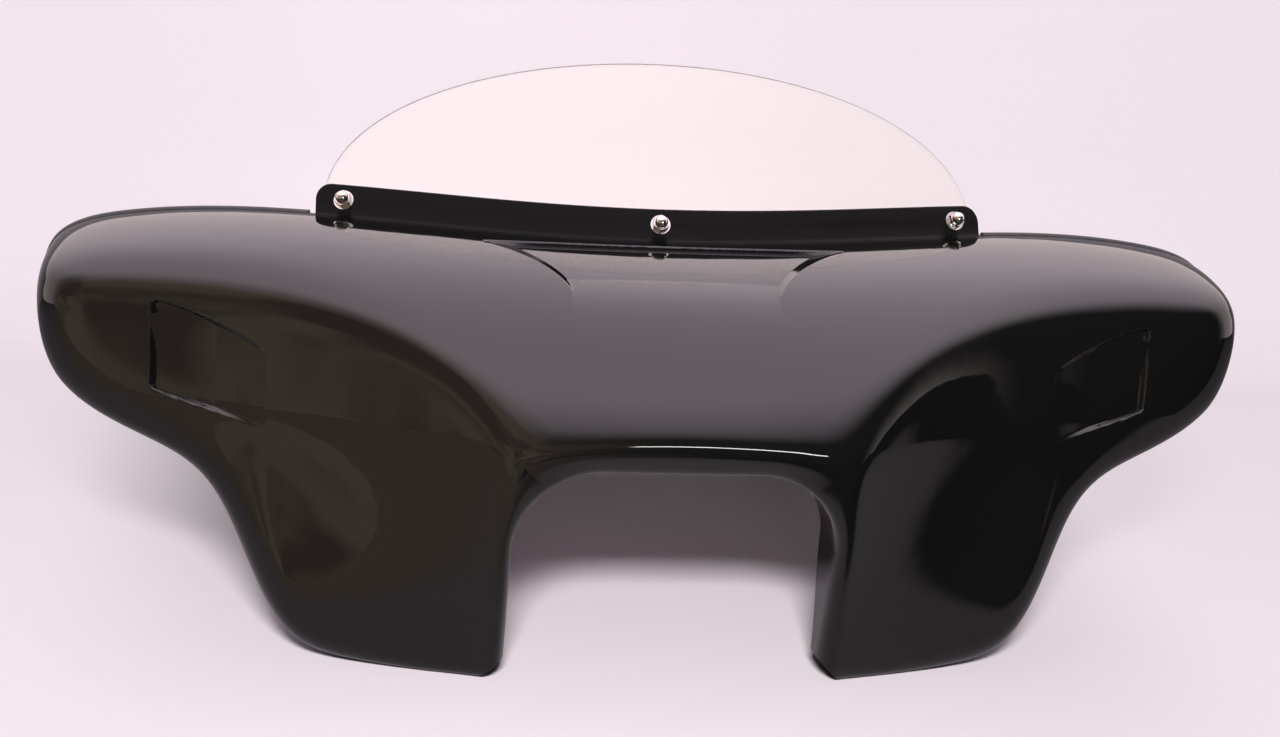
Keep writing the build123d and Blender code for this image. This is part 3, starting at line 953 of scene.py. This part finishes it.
def studio_world():
    """A faint even light. Reflections see a bright ceiling, pale sides and a dim room, warm on the left."""
    faint = (0.02, 0.02, 0.02, 1)
    warm_dark = (0.26, 0.18, 0.12, 1)
    warm_light = (0.74, 0.54, 0.37, 1)
    dark_room = (0.016, 0.015, 0.015, 1)
    pale_sides = (1.35, 1.15, 1.15, 1)
    ceiling_tone = (1.0, 0.86, 0.95)
    ceiling_strength = 2.6
    world = bpy.data.worlds.new("studio")
    world.use_nodes = True
    tree = world.node_tree
    tree.nodes.clear()
    way = node(tree, "ShaderNodeTexCoord", {}, {}, "Generated")
    rearward = part_of(tree, way, "Y")
    patches = node(tree, "ShaderNodeTexNoise", {}, {"Vector": way, "Scale": 3.2, "Detail": 2.0})
    warm = mix_colours(tree, ramp(tree, patches, 0.36, 0.62), warm_dark, warm_light)
    room = mix_colours(tree, ramp(tree, part_of(tree, way, "X"), 0.15, -0.35), dark_room, warm)
    sides = mix_colours(tree, ramp(tree, rearward, -0.3, 0.05), room, pale_sides)
    strength = (1.0 - 0.16 * rearward) * ceiling_strength
    scaled = {0: ceiling_tone, "Scale": strength}
    ceiling = node(tree, "ShaderNodeVectorMath", {"operation": "SCALE"}, scaled)
    ceiling_share = ramp(tree, part_of(tree, way, "Z") + 0.12 * rearward, 0.34, 0.86)
    reflected = mix_colours(tree, ceiling_share, sides, ceiling)
    colour = mix_colours(tree, ray(tree, "Is Glossy Ray"), faint, reflected)
    light = node(tree, "ShaderNodeBackground", {}, {"Color": colour, "Strength": 1.0})
    output = tree.nodes.new("ShaderNodeOutputWorld")
    tree.links.new(light.socket, output.inputs["Surface"])
    scene.world = world


studio_world()


def soft_lamp(name, place, target, size, power):
    """A rectangular lamp, placed and aimed from where the fairing stands."""
    lamp = bpy.data.lights.new(name, "AREA")
    lamp.shape = "RECTANGLE"
    lamp.size, lamp.size_y = size
    lamp.energy = power
    holder = bpy.data.objects.new(name, lamp)
    holder.location = ground + Vector(place)
    holder.rotation_euler = (Vector(target) - Vector(place)).to_track_quat("-Z", "Y").to_euler()
    scene.collection.objects.link(holder)
    return holder


key = soft_lamp("front_softbox", (-0.3, -2.25, 1.2), (0.0, 0.25, 0.1), (0.4, 0.24), 108.0)
key.visible_glossy = False
strip = soft_lamp("low_strip_lamp", (0.5, -1.9, 0.34), (0.0, 0.0, 0.2), (0.95, 0.1), 8.0)
strip.visible_diffuse = False


def camera():
    """The photograph's view, fitted to the drawing."""
    view_turn = math.radians(-7.6)
    view_rise = math.radians(11.0)
    view_roll = math.radians(2.93)
    view_angle = math.radians(30.0)
    distance = 1707.0
    aim = Vector((-22.7, 110.0, 223.5)) * MM + Vector(to_frame)
    plan = math.cos(view_rise)
    back = Vector((math.sin(view_turn) * plan, -math.cos(view_turn) * plan, math.sin(view_rise)))
    level = Vector((math.cos(view_turn), math.sin(view_turn), 0))
    upright = back.cross(level)
    right = level * math.cos(view_roll) + upright * math.sin(view_roll)
    up = upright * math.cos(view_roll) - level * math.sin(view_roll)
    lens = bpy.data.cameras.new("camera")
    lens.sensor_fit = "HORIZONTAL"
    lens.angle = view_angle
    lens.clip_start = 0.05
    lens.clip_end = 50
    holder = bpy.data.objects.new("camera", lens)
    turn = Matrix((right, up, back)).transposed().to_4x4()
    holder.matrix_world = Matrix.Translation(aim + back * distance * MM) @ turn
    scene.collection.objects.link(holder)
    scene.camera = holder


camera()
scene.view_settings.view_transform = "Standard"
